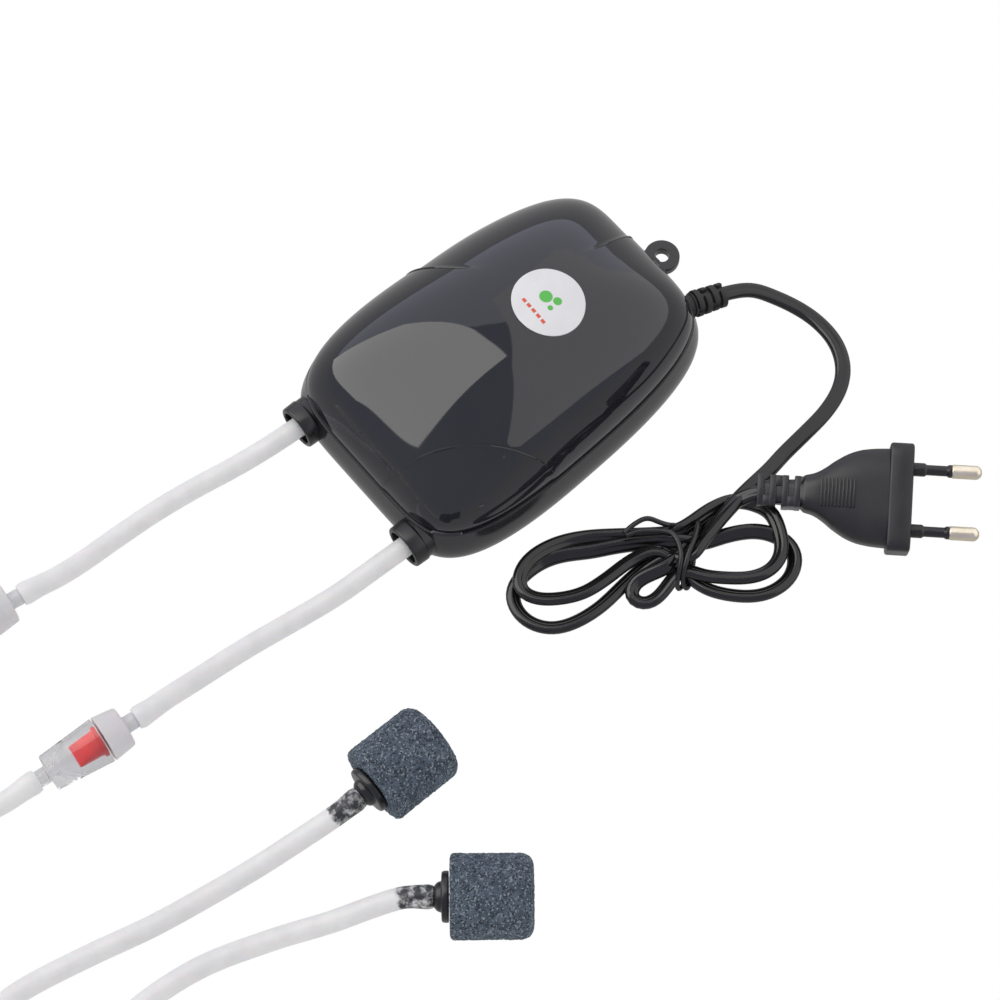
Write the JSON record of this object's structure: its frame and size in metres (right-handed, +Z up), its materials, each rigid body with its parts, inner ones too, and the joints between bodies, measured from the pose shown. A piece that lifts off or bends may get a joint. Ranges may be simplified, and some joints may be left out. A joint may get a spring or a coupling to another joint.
{
  "type": "aquarium air pump",
  "caption": "Electromagnetic diaphragm air pump with a domed glossy case, silicone airlines with check valves and mineral air stones, and a two-pin mains lead.",
  "frame": {"origin": "middle of the pump's own footprint from the outlet collars' mouths to the hanging eyelet, on the surface that its rubber feet stand on", "axes": "+Y along the pump to the rear, where the mains lead leaves; -Y to the air outlets; +Z up through the crown; +X to the right seen from behind the outlets looking to the rear"},
  "size_m": [0.243, 0.3962, 0.0485],
  "materials": {
    "gloss_graphite": "deep blue-black gloss moulding that mirrors its surroundings",
    "case_graphite": "dark graphite semi-gloss moulding",
    "black_plastic": "black semi-gloss moulding",
    "black_rubber": "matt black soft rubber",
    "badge_white": null,
    "zinc_steel": "zinc-plated steel",
    "silicon_steel": "grey laminated electrical steel",
    "copper_wire": "enamelled copper wire",
    "natural_nylon": "natural nylon",
    "ferrite": "dark grey sintered ferrite",
    "silicone_tube": "milky translucent silicone",
    "valve_clear": "clear polystyrene",
    "valve_white": "translucent milk-white moulding",
    "valve_red": "translucent red silicone",
    "mineral": "rough sintered blue-grey mineral",
    "filter_felt": "off-white felt",
    "lead_black": "black PVC cable sheath",
    "pin_nickel": "nickel-plated brass with black sleeves by the plug"
  },
  "bodies": {
    "pump": {"upper_case": "gloss_graphite", "base_case": "case_graphite", "filter_cover": "black_plastic", "outlet_collar_left": "black_plastic", "outlet_collar_right": "black_plastic", "stone_nozzle_left": "black_plastic", "stone_nozzle_right": "black_plastic", "twist_tie": "black_plastic", "plug_body": "black_plastic", "foot_front_left": "black_rubber", "foot_front_right": "black_rubber", "foot_rear_left": "black_rubber", "foot_rear_right": "black_rubber", "cord_boot": "black_rubber", "diaphragm_left": "black_rubber", "diaphragm_right": "black_rubber", "badge": "badge_white", "case_screw_front_left": "zinc_steel", "case_screw_front_right": "zinc_steel", "case_screw_rear_left": "zinc_steel", "case_screw_rear_right": "zinc_steel", "pivot_pin_left": "zinc_steel", "pivot_pin_right": "zinc_steel", "magnet_core": "silicon_steel", "coil_winding": "copper_wire", "coil_bobbin": "natural_nylon", "air_chamber_left": "natural_nylon", "air_chamber_right": "natural_nylon", "valve_plate_left": "natural_nylon", "valve_plate_right": "natural_nylon", "airline_outlet_left": "silicone_tube", "airline_outlet_right": "silicone_tube", "airline_supply_left": "silicone_tube", "airline_supply_right": "silicone_tube", "airline_coil_left": "silicone_tube", "airline_coil_right": "silicone_tube", "airline_stone_left": "silicone_tube", "airline_stone_right": "silicone_tube", "check_valve_body_left": "valve_clear", "check_valve_body_right": "valve_clear", "check_valve_cap_left": "valve_white", "check_valve_cap_right": "valve_white", "check_valve_duckbill_left": "valve_red", "check_valve_duckbill_right": "valve_red", "air_stone_left": "mineral", "air_stone_right": "mineral", "filter_pad": "filter_felt", "mains_lead": "lead_black", "mains_hank": "lead_black", "inner_lead": "lead_black", "plug_pin_near": "pin_nickel", "plug_pin_far": "pin_nickel"},
    "left_arm": {"swing_arm_left": "black_plastic", "arm_magnet_left": "ferrite"},
    "right_arm": {"swing_arm_right": "black_plastic", "arm_magnet_right": "ferrite"},
    "left_inlet_flap": {"inlet_flap_left": "black_rubber"},
    "right_inlet_flap": {"inlet_flap_right": "black_rubber"},
    "left_outlet_flap": {"outlet_flap_left": "black_rubber"},
    "right_outlet_flap": {"outlet_flap_right": "black_rubber"}
  },
  "joints": [
    {"name": "left_arm_swing", "type": "hinge", "parent": "pump", "child": "left_arm", "pos_m": [-0.0153, -0.04175, 0.0245], "axis": [1, 0, 0], "range_deg": [-2, 2], "stiffness_Nm_per_rad": 0.7, "deforming": ["diaphragm_left"]},
    {"name": "right_arm_swing", "type": "hinge", "parent": "pump", "child": "right_arm", "pos_m": [0.0153, -0.04175, 0.0245], "axis": [1, 0, 0], "range_deg": [-2, 2], "stiffness_Nm_per_rad": 0.7, "deforming": ["diaphragm_right"]},
    {"name": "left_inlet_flap_bend", "type": "hinge", "parent": "pump", "child": "left_inlet_flap", "pos_m": [-0.0086, -0.02225, 0.0164], "axis": [0, 1, 0], "range_deg": [0, 20], "stiffness_Nm_per_rad": 0.0002},
    {"name": "left_outlet_flap_bend", "type": "hinge", "parent": "pump", "child": "left_outlet_flap", "pos_m": [-0.0225, -0.02225, 0.0132], "axis": [0, 1, 0], "range_deg": [0, 20], "stiffness_Nm_per_rad": 0.0002},
    {"name": "right_inlet_flap_bend", "type": "hinge", "parent": "pump", "child": "right_inlet_flap", "pos_m": [0.0086, -0.02225, 0.0164], "axis": [0, -1, 0], "range_deg": [0, 20], "stiffness_Nm_per_rad": 0.0002},
    {"name": "right_outlet_flap_bend", "type": "hinge", "parent": "pump", "child": "right_outlet_flap", "pos_m": [0.0225, -0.02225, 0.0132], "axis": [0, -1, 0], "range_deg": [0, 20], "stiffness_Nm_per_rad": 0.0002}
  ],
  "couplings": [
    {"joint": "right_arm_swing", "follows": "left_arm_swing", "ratio": 1}
  ]
}
